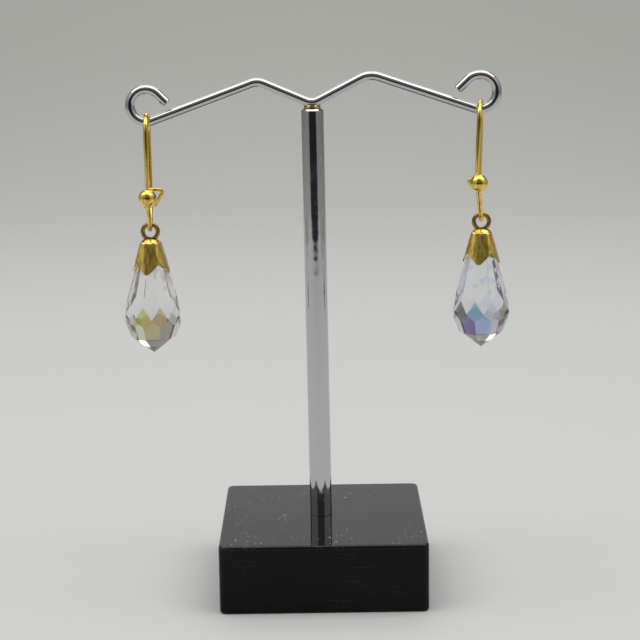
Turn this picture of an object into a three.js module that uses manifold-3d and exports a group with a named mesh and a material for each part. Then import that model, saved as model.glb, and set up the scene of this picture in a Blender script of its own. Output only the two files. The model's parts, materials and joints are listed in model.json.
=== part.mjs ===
// A pair of crystal drop earrings hanging on a small display stand.
// Millimetres, +Z up, +X to the viewer's right, -Y towards the viewer.
// Origin: the centre of the base block's underside.
import * as THREE from 'three';
import { mergeVertices } from 'three/addons/utils/BufferGeometryUtils.js';
import Module from 'manifold-3d';

const wasm = await Module();
wasm.setup();

// Base block
const baseWidth = 35;
const baseDepth = 35;
const baseHeight = 11.75;
const baseCornerRadius = 0.7;
const baseEdgeBevel = 0.5;

// Post, with a threaded stud that goes down into the block
const postDiameter = 3.8;
const postLength = 70.5;
const postRimChamfer = 0.25;
const postOffset = -0.35;
const postLeanDeg = 0.45;
const studDiameter = 2.4;
const studLength = 7;
const socketClearance = 0.3;
const seatGap = 0.05;

// Arm wire: one length of wire, bent to a valley, two peaks and a loop at each end
const armWireDiameter = 1.65;
const valleyBendRadius = 2.6;
const brazeGap = 0.2;
const brazeWidth = 2.9;
const brazeTopWidth = 2.5;
const brazeHeight = 0.65;
const arms = {
  left: {
    side: -1, inner: 9.9, rise: 23.3, outer: 18.8, fall: 19.8,
    peakBend: 2.8, loopRadius: 2.7, turn: 244.8, tail: 2.15,
  },
  right: {
    side: 1, inner: 10.75, rise: 27, outer: 18.45, fall: 18.8,
    peakBend: 4, loopRadius: 2.85, turn: 242.6, tail: 2.4,
  },
};

// Ear hook: one bent wire with a soldered ball. Drops are measured down from the top of the arch.
const hookWireDiameter = 0.8;
const hookDepth = 6.2;
const hookRestGap = 0.1;
const bendRadius = 0.9;
const backBendRadius = 2.2;
const ballDiameter = 3;
const ballOut = 1.6;
const catchWireDiameter = 0.6;
const catchBendRadius = 0.5;
const catchSolderLap = 0.8;
const catchClearance = 0.12;
const catchLead = 1.1;
const catchPast = 0.75;

// Ring that hangs in the hook's bottom bend, soldered on the cap
const ringOuterDiameter = 3.3;
const ringWireDiameter = 0.75;
const ringClearance = 0.1;

// Cap: a thin square bell with four pointed petals
const capTopWidth = 3.3;
const capTipWidth = 6.35;
const capHeight = 5.3;
const capNotchDrop = 3.35;
const capWall = 0.2;
const capDomeHeight = 0.45;
const capDomeWidth = 2.3;
const capSolderSink = 0.45;
const petalTipFlat = 0.35;
const petalCount = 4;
const capTopSquareness = 3.4;
const capTipSquareness = 2.4;

// Crystal: rows of flat facets round a teardrop
const stoneWidth = 9.8;
const stoneHeight = 17.9;
const stoneFacets = 10;
const stoneClearance = 0.08;
// Each row: radius as a share of half the width and height as a share of the stone's height, from the tip;
// flare in degrees, positive where the stone widens upwards; turn as a share of one facet.
const stoneRows = [
  { row: 'cone', radius: 0.524, height: 0.112, flare: 52, turn: 0 },
  { row: 'lower belly', radius: 1, height: 0.352, flare: 21, turn: 0 },
  { row: 'upper belly', radius: 0.947, height: 0.352, flare: -3.4, turn: 0.5 },
  { row: 'long facets', radius: 1, height: 0.352, flare: -15, turn: 0 },
];

// What differs between the two earrings. Turns are in degrees about the vertical, and shifts are sideways,
// positive towards the post. The catch bulges towards the post. The stone's top is seated in the cap,
// stoneSeat below the cap's flat top.
const earrings = {
  left: {
    arm: arms.left, hangShift: 0, hookTurn: 1, legShift: -0.02, ballShift: 0.1, bendShift: 0,
    ballDrop: 13.5, bendDrop: 19.4, catchLeave: 12.2, catchOut: 2.75, catchDrop: 12.35, curlDrop: 15.4,
    petalTurn: -10, stoneTurn: 2, stoneSeat: 1.35,
  },
  right: {
    arm: arms.right, hangShift: 0.15, hookTurn: -8, legShift: 0.42, ballShift: 0.02, bendShift: -0.23,
    ballDrop: 13.15, bendDrop: 19.85, catchLeave: 12.1, catchOut: 2.4, catchDrop: 13.3, curlDrop: 14.25,
    petalTurn: -14, stoneTurn: 0, stoneSeat: 2.1,
  },
};

// Roundness of the meshes
const armWireSides = 12;
const hookWireSides = 10;
const catchWireSides = 8;
const ringSides = 8;
const ringSegments = 24;
const postSides = 32;
const ballSides = 16;
const ballRings = 12;
const baseBevelSteps = 2;
const baseCornerSteps = 5;
const capSides = 40;
const capSteps = 4;
const bendStep = 15;
const loopBends = 4;

// How far a cutting piece runs past what it cuts, how deep joined faces sink into each other,
// and how close two points are that count as one
const cutMargin = 1;
const joinSink = 0.001;
const samePoint = 0.00001;

const rad = THREE.MathUtils.degToRad;

const materials = {
  block: new THREE.MeshStandardMaterial({ color: 0x101012, roughness: 0.12, metalness: 0 }),
  chrome: new THREE.MeshStandardMaterial({ color: 0xc4c5c8, roughness: 0.12, metalness: 1 }),
  gold: new THREE.MeshStandardMaterial({ color: 0xc9a23a, roughness: 0.22, metalness: 1 }),
  crystal: new THREE.MeshStandardMaterial({ color: 0xe9eef0, roughness: 0.03, metalness: 0 }),
};

// Solids

function toManifold(geometry) {
  const bare = geometry.clone();
  bare.deleteAttribute('normal');
  bare.deleteAttribute('uv');
  bare.clearGroups();
  const merged = mergeVertices(bare, samePoint);
  const mesh = new wasm.Mesh({
    numProp: 3,
    vertProperties: Float32Array.from(merged.attributes.position.array),
    triVerts: Uint32Array.from(merged.index.array),
  });
  return new wasm.Manifold(mesh);
}

function toGeometry(solid) {
  const mesh = solid.getMesh();
  const geometry = new THREE.BufferGeometry();
  geometry.setAttribute('position', new THREE.BufferAttribute(mesh.vertProperties, 3));
  geometry.setIndex(new THREE.BufferAttribute(mesh.triVerts, 1));
  geometry.computeVertexNormals();
  return geometry;
}

function join(geometries) {
  const solids = geometries.map(toManifold);
  return solids.reduce((whole, solid) => whole.add(solid));
}

function makeMesh(name, geometry, material) {
  const mesh = new THREE.Mesh(geometry, material);
  mesh.name = name;
  return mesh;
}

// Wires

// A wire bent at corners: straight runs with a round bend of its own radius at each corner.
class BentWire extends THREE.Curve {
  constructor(corners) {
    super();
    this.stations = [];
    corners.forEach(({ at, bend }, i) => {
      const before = corners[i - 1];
      const after = corners[i + 1];
      if (!before || !after) {
        const along = before ? at.clone().sub(before.at) : after.at.clone().sub(at);
        this.addStation(at.clone(), along.normalize());
        return;
      }
      this.addBend(at, bend, at.clone().sub(before.at).normalize(), after.at.clone().sub(at).normalize());
    });
  }

  addStation(point, tangent) {
    const last = this.stations[this.stations.length - 1];
    if (last && last.point.distanceTo(point) < joinSink) return;
    this.stations.push({ point, tangent });
  }

  addBend(corner, radius, incoming, outgoing) {
    const angle = incoming.angleTo(outgoing);
    const axis = incoming.clone().cross(outgoing).normalize();
    const start = corner.clone().addScaledVector(incoming, -radius * Math.tan(angle / 2));
    const centre = start.clone().addScaledVector(axis.clone().cross(incoming), radius);
    const steps = Math.max(2, Math.ceil(THREE.MathUtils.radToDeg(angle) / bendStep));
    for (let i = 0; i <= steps; i += 1) {
      const turned = (angle * i) / steps;
      const point = start.clone().sub(centre).applyAxisAngle(axis, turned).add(centre);
      this.addStation(point, incoming.clone().applyAxisAngle(axis, turned));
    }
  }

  get steps() {
    return this.stations.length - 1;
  }

  stationAt(t) {
    return this.stations[Math.round(t * this.steps)];
  }

  getPoint(t, target = new THREE.Vector3()) {
    return target.copy(this.stationAt(t).point);
  }

  getTangent(t, target = new THREE.Vector3()) {
    return target.copy(this.stationAt(t).tangent);
  }

  getUtoTmapping(u) {
    return u;
  }
}

function wireGeometry(corners, diameter, sides) {
  const path = new BentWire(corners);
  const section = new THREE.Shape();
  for (let i = 0; i < sides; i += 1) {
    const angle = (2 * Math.PI * i) / sides;
    const x = (diameter / 2) * Math.cos(angle);
    const y = (diameter / 2) * Math.sin(angle);
    if (i === 0) section.moveTo(x, y);
    else section.lineTo(x, y);
  }
  section.closePath();
  return new THREE.ExtrudeGeometry(section, { steps: path.steps, extrudePath: path, bevelEnabled: false });
}

// Height that a bend of this radius rises above its sharp corner, for two runs that turn by this angle
function cornerCut(radius, turnDeg) {
  return radius * (1 / Math.cos(rad(turnDeg) / 2) - 1);
}

// Stand

function roundedRectangle(width, depth, radius) {
  const x = width / 2;
  const y = depth / 2;
  const shape = new THREE.Shape();
  shape.moveTo(-x + radius, -y);
  shape.lineTo(x - radius, -y);
  shape.absarc(x - radius, -y + radius, radius, -Math.PI / 2, 0);
  shape.lineTo(x, y - radius);
  shape.absarc(x - radius, y - radius, radius, 0, Math.PI / 2);
  shape.lineTo(-x + radius, y);
  shape.absarc(-x + radius, y - radius, radius, Math.PI / 2, Math.PI);
  shape.lineTo(-x, -y + radius);
  shape.absarc(-x + radius, -y + radius, radius, Math.PI, 1.5 * Math.PI);
  return shape;
}

function upright(geometry) {
  return geometry.rotateX(Math.PI / 2);
}

function makeBase() {
  const inset = baseEdgeBevel;
  const outline = roundedRectangle(baseWidth - 2 * inset, baseDepth - 2 * inset, baseCornerRadius);
  const block = new THREE.ExtrudeGeometry(outline, {
    depth: baseHeight - 2 * baseEdgeBevel,
    bevelThickness: baseEdgeBevel,
    bevelSize: inset,
    bevelSegments: baseBevelSteps,
    curveSegments: baseCornerSteps,
  });
  block.translate(0, 0, baseEdgeBevel);
  const socketDepth = studLength + socketClearance;
  const socketRadius = studDiameter / 2 + socketClearance;
  const socket = upright(new THREE.CylinderGeometry(socketRadius, socketRadius, socketDepth + cutMargin, postSides));
  socket.translate(postOffset, 0, baseHeight - socketDepth / 2 + cutMargin / 2);
  const solid = toManifold(block).subtract(toManifold(socket));
  return makeMesh('stand_base', toGeometry(solid), materials.block);
}

const postFoot = new THREE.Vector3(postOffset, 0, baseHeight + seatGap);
const postUp = new THREE.Vector3(-Math.sin(rad(postLeanDeg)), 0, Math.cos(rad(postLeanDeg)));
const postTop = postFoot.clone().addScaledVector(postUp, postLength);
const valley = new THREE.Vector3(postTop.x, 0, postTop.z + brazeGap + armWireDiameter / 2);

// Corners of one arm from its peak out to the loop's cut end. In these sums u runs outwards from the valley.
function layOutArm(arm) {
  const heading = (angle) => new THREE.Vector3(arm.side * Math.cos(rad(angle)), 0, Math.sin(rad(angle)));
  const valleyTurn = arms.left.rise + arms.right.rise;
  const corner = valley.clone();
  corner.z -= cornerCut(valleyBendRadius, valleyTurn);
  const peak = corner.clone().addScaledVector(heading(arm.rise), arm.inner);
  const loopStart = peak.clone().addScaledVector(heading(-arm.fall), arm.outer);
  const loopCentre = loopStart.clone().addScaledVector(heading(90 - arm.fall), arm.loopRadius);
  const corners = [{ at: peak, bend: arm.peakBend }];
  const step = arm.turn / loopBends;
  const reach = arm.loopRadius * Math.tan(rad(step) / 2);
  let at = loopStart;
  for (let i = 0; i < loopBends; i += 1) {
    const run = i === 0 ? reach : 2 * reach;
    at = at.clone().addScaledVector(heading(-arm.fall + i * step), run);
    corners.push({ at, bend: arm.loopRadius });
  }
  at = at.clone().addScaledVector(heading(-arm.fall + arm.turn), reach + arm.tail);
  corners.push({ at, bend: 0 });
  return { valleyCorner: corner, corners, loopCentre };
}

function makeFrame() {
  const left = layOutArm(arms.left);
  const right = layOutArm(arms.right);
  const corners = [
    ...left.corners.toReversed(),
    { at: left.valleyCorner, bend: valleyBendRadius },
    ...right.corners,
  ];
  const wire = wireGeometry(corners, armWireDiameter, armWireSides);

  const radius = postDiameter / 2;
  const profile = [
    [0, 0],
    [radius, 0],
    [radius, postLength - postRimChamfer],
    [radius - postRimChamfer, postLength],
    [0, postLength],
  ].map(([x, y]) => new THREE.Vector2(x, y));
  const post = upright(new THREE.LatheGeometry(profile, postSides));
  const studRun = studLength + seatGap;
  const stud = upright(new THREE.CylinderGeometry(studDiameter / 2, studDiameter / 2, studRun + cutMargin, postSides));
  stud.translate(0, 0, (cutMargin - studRun) / 2);
  const braze = upright(new THREE.CylinderGeometry(brazeTopWidth / 2, brazeWidth / 2, brazeHeight + brazeGap, postSides));
  braze.translate(0, 0, postLength + (brazeHeight - brazeGap) / 2);
  for (const piece of [post, stud, braze]) {
    piece.rotateY(-rad(postLeanDeg));
    piece.translate(postFoot.x, postFoot.y, postFoot.z);
  }
  return makeMesh('stand_frame', toGeometry(join([post, stud, braze, wire])), materials.chrome);
}

// Ear hook, with the top of its arch's centre line at the origin

function makeHook(name, ear) {
  const towardsPost = -ear.arm.side;
  const place = (across, y, drop) => new THREE.Vector3(towardsPost * across, y, -drop);
  const half = hookDepth / 2;
  const ballY = -(half + ballOut);

  // The two lower runs touch the bottom bend at the same angle from the vertical
  const bendCentreDrop = ear.bendDrop - bendRadius;
  const rise = bendCentreDrop - ear.ballDrop;
  const lean = Math.atan2(-ballY, rise) - Math.asin(bendRadius / Math.hypot(ballY, rise));
  const cornerDrop = ear.bendDrop + bendRadius * (1 / Math.sin(lean) - 1);
  const backCornerDrop = cornerDrop - half / Math.tan(lean);
  const legEnd = place(ear.legShift, -half, ear.catchLeave);
  const hook = wireGeometry([
    { at: place(ear.ballShift, ballY, ear.ballDrop), bend: 0 },
    { at: place(ear.bendShift, 0, cornerDrop), bend: bendRadius },
    { at: place(ear.legShift, half, backCornerDrop), bend: backBendRadius },
    { at: place(0, half, 0), bend: half },
    { at: place(0, -half, 0), bend: half },
    { at: legEnd, bend: 0 },
  ], hookWireDiameter, hookWireSides);

  // The catch passes behind the short front run, just under the ball
  const shortRunY = -(cornerDrop - ear.curlDrop) * Math.tan(lean);
  const apart = (hookWireDiameter + catchWireDiameter) / 2 + catchClearance;
  const curlY = shortRunY + apart / Math.cos(lean);
  const lapShare = catchSolderLap / ear.catchLeave;
  const grip = wireGeometry([
    { at: legEnd.clone().lerp(place(0, -half, 0), lapShare), bend: 0 },
    { at: legEnd, bend: catchBendRadius / 2 },
    { at: place(ear.catchOut, -half, ear.catchDrop), bend: catchBendRadius },
    { at: place(ear.ballShift + catchLead, curlY, ear.curlDrop - catchBendRadius), bend: catchBendRadius },
    { at: place(ear.ballShift - catchPast, curlY, ear.curlDrop), bend: 0 },
  ], catchWireDiameter, catchWireSides);

  const ball = new THREE.SphereGeometry(ballDiameter / 2, ballSides, ballRings);
  const centre = place(ear.ballShift, ballY, ear.ballDrop);
  ball.translate(centre.x, centre.y, centre.z);
  return makeMesh(name, toGeometry(join([hook, grip, ball])), materials.gold);
}

// Drop: ring, cap and crystal, with the cap's flat top at height 0

const ringRadius = (ringOuterDiameter - ringWireDiameter) / 2;
const ringHoleRadius = ringRadius - ringWireDiameter / 2;
const ringRise = capDomeHeight - capSolderSink + ringOuterDiameter / 2;
// From the ring's centre up to the centre line of the hook's bottom bend
const bendAboveRing = ringHoleRadius - ringClearance - hookWireDiameter / 2;

function capHalfWidth(drop) {
  return (capTopWidth + ((capTipWidth - capTopWidth) * drop) / capHeight) / 2;
}

// A square bell with soft corners, from one drop below the top to another, set in from the cap's outside by inset
function bell(topDrop, lowDrop, inset) {
  const height = lowDrop - topDrop;
  const geometry = upright(new THREE.CylinderGeometry(1, 1, height, capSides, capSteps));
  geometry.translate(0, 0, -(topDrop + height / 2));
  const position = geometry.attributes.position;
  for (let i = 0; i < position.count; i += 1) {
    const x = position.getX(i);
    const y = position.getY(i);
    const drop = -position.getZ(i);
    const share = THREE.MathUtils.clamp(drop / capHeight, 0, 1);
    const power = THREE.MathUtils.lerp(capTopSquareness, capTipSquareness, share);
    const length = Math.hypot(x, y);
    const square = length === 0 ? 0 : length / (Math.abs(x) ** power + Math.abs(y) ** power) ** (1 / power);
    const scale = (capHalfWidth(drop) - inset) * square;
    position.setXY(i, x * scale, y * scale);
  }
  return geometry;
}

function petalNotch(index) {
  const halfPetal = Math.PI / petalCount;
  const run = capHeight - capNotchDrop;
  const tipAcross = capHalfWidth(capHeight) * Math.sin(halfPetal) - petalTipFlat / 2;
  const reach = (run + cutMargin) / run;
  const shape = new THREE.Shape();
  shape.moveTo(0, -capNotchDrop);
  shape.lineTo(-tipAcross * reach, -capNotchDrop - run * reach);
  shape.lineTo(tipAcross * reach, -capNotchDrop - run * reach);
  shape.closePath();
  const prism = new THREE.ExtrudeGeometry(shape, { depth: capTipWidth, bevelEnabled: false });
  upright(prism);
  return prism.rotateZ(halfPetal * (2 * index + 1));
}

function makeCap(name, ear) {
  let shell = toManifold(bell(0, capHeight, 0));
  shell = shell.subtract(toManifold(bell(capWall, capHeight + cutMargin, capWall)));
  for (let i = 0; i < petalCount; i += 1) {
    shell = shell.subtract(toManifold(petalNotch(i)));
  }
  const dome = upright(new THREE.CylinderGeometry(capDomeWidth / 2, capTopWidth / 2, capDomeHeight, capSides));
  dome.translate(0, 0, capDomeHeight / 2 - joinSink);
  const ring = new THREE.TorusGeometry(ringRadius, ringWireDiameter / 2, ringSides, ringSegments);
  ring.rotateX(Math.PI / 2);
  ring.translate(0, 0, ringRise);
  ring.rotateZ(-rad(ear.petalTurn));
  const solid = shell.add(toManifold(dome)).add(toManifold(ring));
  return makeMesh(name, toGeometry(solid), materials.gold);
}

// One row of facets as a tapered prism that the stone is the common part of. Heights are from the stone's tip.
function facetRow(height, radius, flareDeg, turn, top) {
  const slope = Math.tan(rad(flareDeg));
  const flatRadius = (z) => radius + (z - height) * slope;
  const low = flatRadius(0) < 0 ? height - radius / slope : 0;
  const cornerShare = 1 / Math.cos(Math.PI / stoneFacets);
  const size = (z) => Math.max(0, flatRadius(z)) * cornerShare;
  const prism = upright(new THREE.CylinderGeometry(size(top), size(low), top - low, stoneFacets));
  prism.translate(0, 0, (top + low) / 2);
  return prism.rotateZ(((turn + 0.5) * 2 * Math.PI) / stoneFacets);
}

function makeStone(name, ear) {
  const rows = stoneRows.map(({ radius, height, flare, turn }) =>
    facetRow(height * stoneHeight, (radius * stoneWidth) / 2, flare, turn, stoneHeight));
  // The neck runs up inside the cap, clear of its wall all the way
  const neckFlare = THREE.MathUtils.radToDeg(Math.atan2((capTopWidth - capTipWidth) / 2, capHeight));
  const neckRadius = capHalfWidth(capHeight) - capWall - stoneClearance;
  const flatShare = Math.cos(Math.PI / stoneFacets);
  const capFoot = ear.stoneSeat + stoneHeight - capHeight;
  rows.push(facetRow(capFoot, neckRadius * flatShare, neckFlare, 0, stoneHeight));
  const solids = rows.map(toManifold);
  const solid = solids.reduce((common, row) => common.intersect(row));
  return makeMesh(name, toGeometry(solid), materials.crystal);
}

function makeEarring(name, ear) {
  const { loopCentre } = layOutArm(ear.arm);
  const wireZ = loopCentre.z - Math.sqrt(ear.arm.loopRadius ** 2 - ear.hangShift ** 2);
  const archRise = armWireDiameter / 2 + hookRestGap + hookWireDiameter / 2;
  const earring = new THREE.Group();
  earring.position.set(loopCentre.x + ear.arm.side * ear.hangShift, 0, wireZ + archRise);
  const hook = makeHook(`${name}_ear_hook`, ear);
  hook.rotation.z = rad(ear.hookTurn);
  earring.add(hook);

  const drop = new THREE.Group();
  drop.position.set(-ear.arm.side * ear.bendShift, 0, -(ear.bendDrop + bendAboveRing + ringRise));
  earring.add(drop);
  const cap = makeCap(`${name}_drop_cap`, ear);
  cap.rotation.z = rad(ear.petalTurn);
  const stone = makeStone(`${name}_crystal`, ear);
  stone.position.z = -(ear.stoneSeat + stoneHeight);
  stone.rotation.z = rad(ear.stoneTurn);
  drop.add(cap, stone);
  return earring;
}

const model = new THREE.Group();
model.add(makeBase(), makeFrame());
for (const [name, ear] of Object.entries(earrings)) {
  model.add(makeEarring(name, ear));
}

export default model;
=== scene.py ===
"""A pair of crystal drop earrings on a small display stand, dressed around its frame.

Everything is in metres, +Z up, with the origin at the centre of the block's underside.
"""

import json
import math
from typing import NamedTuple

import bmesh
import bpy
from mathutils import Matrix, Vector


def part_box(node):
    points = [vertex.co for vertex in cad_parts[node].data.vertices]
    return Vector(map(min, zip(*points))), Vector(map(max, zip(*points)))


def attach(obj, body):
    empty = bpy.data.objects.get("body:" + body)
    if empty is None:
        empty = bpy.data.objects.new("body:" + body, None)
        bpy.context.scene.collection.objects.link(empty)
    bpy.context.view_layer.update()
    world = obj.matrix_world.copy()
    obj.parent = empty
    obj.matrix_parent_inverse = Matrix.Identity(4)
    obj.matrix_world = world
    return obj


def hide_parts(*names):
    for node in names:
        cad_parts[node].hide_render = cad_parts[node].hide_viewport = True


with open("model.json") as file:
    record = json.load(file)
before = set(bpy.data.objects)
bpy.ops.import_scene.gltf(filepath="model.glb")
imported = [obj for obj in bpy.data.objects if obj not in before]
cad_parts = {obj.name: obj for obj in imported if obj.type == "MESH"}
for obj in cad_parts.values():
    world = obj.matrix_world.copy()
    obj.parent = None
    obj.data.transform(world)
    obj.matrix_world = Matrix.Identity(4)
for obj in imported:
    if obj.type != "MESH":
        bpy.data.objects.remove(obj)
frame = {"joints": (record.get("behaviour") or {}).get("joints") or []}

bl_info = {
    "name": "Crystal Earrings on a Stand",
    "version": (1, 0, 0),
    "blender": (4, 5, 0),
    "location": "View3D > Sidebar > Earrings",
    "description": "Builds a pair of crystal drop earrings and the small stand that they hang on",
    "category": "Add Mesh",
}

MM = 0.001

# Names of the finishes
CHROME = "bright_chrome"
GOLD = "gold_plate"
ACRYLIC = "black_acrylic"
GLASS = "coated_glass"


class Arm(NamedTuple):
    """One side of the arm wire. Lengths run from corner to corner and angles are in degrees."""

    side: int
    inner: float
    rise: float
    outer: float
    fall: float
    peak_bend: float
    loop_radius: float
    turn: float
    tail: float


class Ear(NamedTuple):
    """One earring. Drops are measured down from its arch, shifts sideways, positive towards the post."""

    arm: Arm
    hook_turn: float
    leg_shift: float
    ball_shift: float
    bend_shift: float
    ball_drop: float
    bend_drop: float
    catch_leave: float
    catch_out: float
    catch_drop: float
    curl_drop: float
    petal_turn: float
    stone_turn: float
    stone_seat: float


class FacetRow(NamedTuple):
    """A row of facets: shares of the stone's half width and height, flare in degrees, turn in facets."""

    name: str
    radius: float
    height: float
    flare: float
    turn: float


ARMS = {
    "left": Arm(side=-1, inner=9.9 * MM, rise=23.3, outer=18.8 * MM, fall=19.8,
                peak_bend=2.8 * MM, loop_radius=2.7 * MM, turn=244.8, tail=2.15 * MM),
    "right": Arm(side=1, inner=10.75 * MM, rise=27, outer=18.45 * MM, fall=18.8,
                 peak_bend=4 * MM, loop_radius=2.85 * MM, turn=242.6, tail=2.4 * MM),
}

EARS = {
    "left": Ear(arm=ARMS["left"], hook_turn=1, leg_shift=-0.02 * MM, ball_shift=0.1 * MM,
                bend_shift=0, ball_drop=13.5 * MM, bend_drop=19.4 * MM, catch_leave=12.2 * MM,
                catch_out=2.75 * MM, catch_drop=12.35 * MM, curl_drop=15.4 * MM,
                petal_turn=-10, stone_turn=2, stone_seat=1.35 * MM),
    "right": Ear(arm=ARMS["right"], hook_turn=-8, leg_shift=0.42 * MM, ball_shift=0.02 * MM,
                 bend_shift=-0.23 * MM, ball_drop=13.15 * MM, bend_drop=19.85 * MM, catch_leave=12.1 * MM,
                 catch_out=2.4 * MM, catch_drop=13.3 * MM, curl_drop=14.25 * MM,
                 petal_turn=-14, stone_turn=0, stone_seat=2.1 * MM),
}

# Two bends that meet keep this much of their radius, so that their ends don't fall on one point
TOUCHING_BENDS = 0.997

FACET_ROWS = [
    FacetRow("cone", radius=0.524, height=0.112, flare=52, turn=0),
    FacetRow("lower_belly", radius=1, height=0.352, flare=21, turn=0),
    FacetRow("upper_belly", radius=0.947, height=0.352, flare=-3.4, turn=0.5),
    FacetRow("long_facets", radius=1, height=0.352, flare=-15, turn=0),
]

# The facets' colours: partly the coating's own tints, partly painted reflection and painted shade, as in the
# darker grey, moss and drab
TINTS_AND_PAINTED_LIGHT = {
    "clear": (0.97, 0.98, 0.97),
    "white": (1.0, 1.0, 1.0),
    "grey": (0.42, 0.41, 0.4),
    "ash": (0.86, 0.84, 0.8),
    "moss": (0.12, 0.10, 0.05),
    "drab": (0.30, 0.29, 0.17),
    "olive": (0.66, 0.55, 0.03),
    "sand": (0.52, 0.38, 0.06),
    "peach": (0.62, 0.38, 0.14),
    "rose": (0.74, 0.66, 0.54),
    "mint": (0.80, 0.85, 0.55),
    "cyan": (0.20, 0.52, 0.90),
    "blue": (0.28, 0.42, 0.90),
    "violet": (0.26, 0.18, 0.62),
    "lavender": (0.72, 0.76, 0.94),
    "mauve": (0.66, 0.52, 0.66),
}

# The colour of each facet, the coating's tint and painted reflection and shade together, counted against the
# clock from the one that faces the viewer
TINT_AND_LIGHT_CHART = {
    "left": {
        "cone": "grey white clear white clear clear clear white clear white",
        "lower_belly": "sand rose clear clear olive clear clear clear clear mint",
        "upper_belly": "peach clear clear mint clear clear rose clear clear olive",
    },
    "right": {
        "cone": "ash ash clear white clear white clear white clear ash",
        "lower_belly": "blue mauve blue clear clear clear violet clear clear violet",
        "upper_belly": "lavender drab clear clear lavender clear clear cyan moss cyan",
    },
}

# The cap's plan is a square with soft corners. A higher power makes it squarer
CAP_TOP_SQUARENESS = 3.4
CAP_TIP_SQUARENESS = 2.4
PETALS = 4

# Rounds in which the drop of a petal's edge settles
PETAL_ROUNDS = 12


class DomeStep(NamedTuple):
    """A step up the dome: its width as shares of the cap's top and the dome's own width, and its height."""

    of_cap: float
    of_dome: float
    up: float


DOME_STEPS = [
    DomeStep(of_cap=0.96, of_dome=0, up=0),
    DomeStep(of_cap=0.9, of_dome=0, up=0.25),
    DomeStep(of_cap=0, of_dome=1.1, up=0.82),
    DomeStep(of_cap=0, of_dome=0.9, up=1),
]


class Finish(NamedTuple):
    """A worn finish: its roughness, what marks add to it, how deep they are, and the wear group's inputs."""

    roughness: float
    rougher: float
    depth: float
    marks: dict


FINISHES = {
    CHROME: Finish(roughness=0.055, rougher=0.16, depth=0.004 * MM,
                   marks={"Scratches": 0.25, "Dust": 0.3, "Smudges": 0.5}),
    GOLD: Finish(roughness=0.2, rougher=0.16, depth=0.003 * MM,
                 marks={"Scratch Length": 1.0, "Scratches": 0.35, "Dust": 0.15, "Smudges": 0.6}),
    ACRYLIC: Finish(roughness=0.03, rougher=0.14, depth=0.004 * MM,
                    marks={"Scratches": 0.3, "Smudges": 0.35, "Dust Spacing": (0.9, 3.2, 0.3)}),
}

# Scratches lie in three directions, in degrees, and are counted in cells to their length.
# Other noise is counted in cells to a millimetre. It shows between the two values of its edge
SCRATCH_TURNS = ((15, 35, 20), (-40, 60, 75), (50, -30, 140))
SCRATCH_CELLS = (0.35, 9, 9)
SCRATCH_EDGE = (0.68, 0.73)
SCRATCH_DEPTH = 0.4
PATCH_CELLS = 0.12
PATCH_EDGE = (0.42, 0.62)
SMUDGE_CELLS = 0.22
SMUDGE_EDGE = (0.4, 0.75)
CHROME_WAVE_CELLS = (0.45, 0.45, 0.45)
WAVE_HEIGHT = 5
STREAK_CELLS = (1.9, 1.9, 0.12)
STREAK_EDGE = (0.46, 0.62)
CLOUD_CELLS = (0.35, 0.35, 0.35)
CLOUD_EDGE = (0.3, 0.7)

# The largest speck's reach as a share of the specks' spacing. A higher power makes large specks rarer
SPECK_REACH = 0.14
SPECK_REACH_IN_PATCH = 0.2
SPECK_POWER = 4
SPECK_BLUR = 0.02

# How much darker the rings are coloured, how strong the coat on the block's top is, and the dust on its sides
RING_DARKENING_SHARE = 0.8
TOP_COAT = 0.35
SIDE_DUST = 0.2

# How strong a crystal's flashes are, which of their cells flash, and over what height they set in
FLASH_SHARE = 0.5
FLASH_PICK = (0.88, 0.90)
FLASH_FADE = 2 * MM


class Lamp(NamedTuple):
    """A soft rectangular lamp: its size, its place and the point that it shines at."""

    size: tuple
    place: tuple
    aim: tuple


LAMPS = {
    "overhead": Lamp(size=(1.1, 0.36), place=(-0.04, -0.06, 0.52), aim=(-0.04, -0.06, 0)),
    "back": Lamp(size=(0.6, 0.3), place=(0, 0.46, 0.55), aim=(0, 0.5, 0)),
}
LAMP_COLOUR = (1.0, 0.985, 0.95)

# Where the room's front begins, by the cosine of the bearing from -Y, and the rise where the room brightens
FRONT_EDGE = (0.74, 0.86)
ROOM_RISE = 0.6

# The camera's lens and sensor in millimetres, its place, and its angles in degrees
LENS = 97.5
SENSOR = 36
NEAREST = 0.01
CAMERA_PLACE = (-0.0005, -0.2904, 0.106)
PITCH = 11.62
YAW = 0.08
ROLL = -0.79

# Faces along rounded edges and curves
CORNER_STEPS = 10
BEVEL_STEPS = 5
BRAZE_STEPS = 8
SWEEP_STEPS = 24

# Edges whose ends differ in height by less than this are level
LEVEL = 1e-6

# Corners nearer to a facet's plane than this lie on it, and facets that turn by fewer degrees are one
TOUCHING = 1e-8
FLATTEST_EDGE = 3


def length(name, description, metres):
    """A size that a user can change."""
    return bpy.props.FloatProperty(
        name=name, description=description, default=metres, unit="LENGTH", precision=5
    )


def colour(name, description, value):
    """A colour that a user can change."""
    return bpy.props.FloatVectorProperty(
        name=name, description=description, default=value, subtype="COLOR", size=3, min=0, max=1
    )


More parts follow.
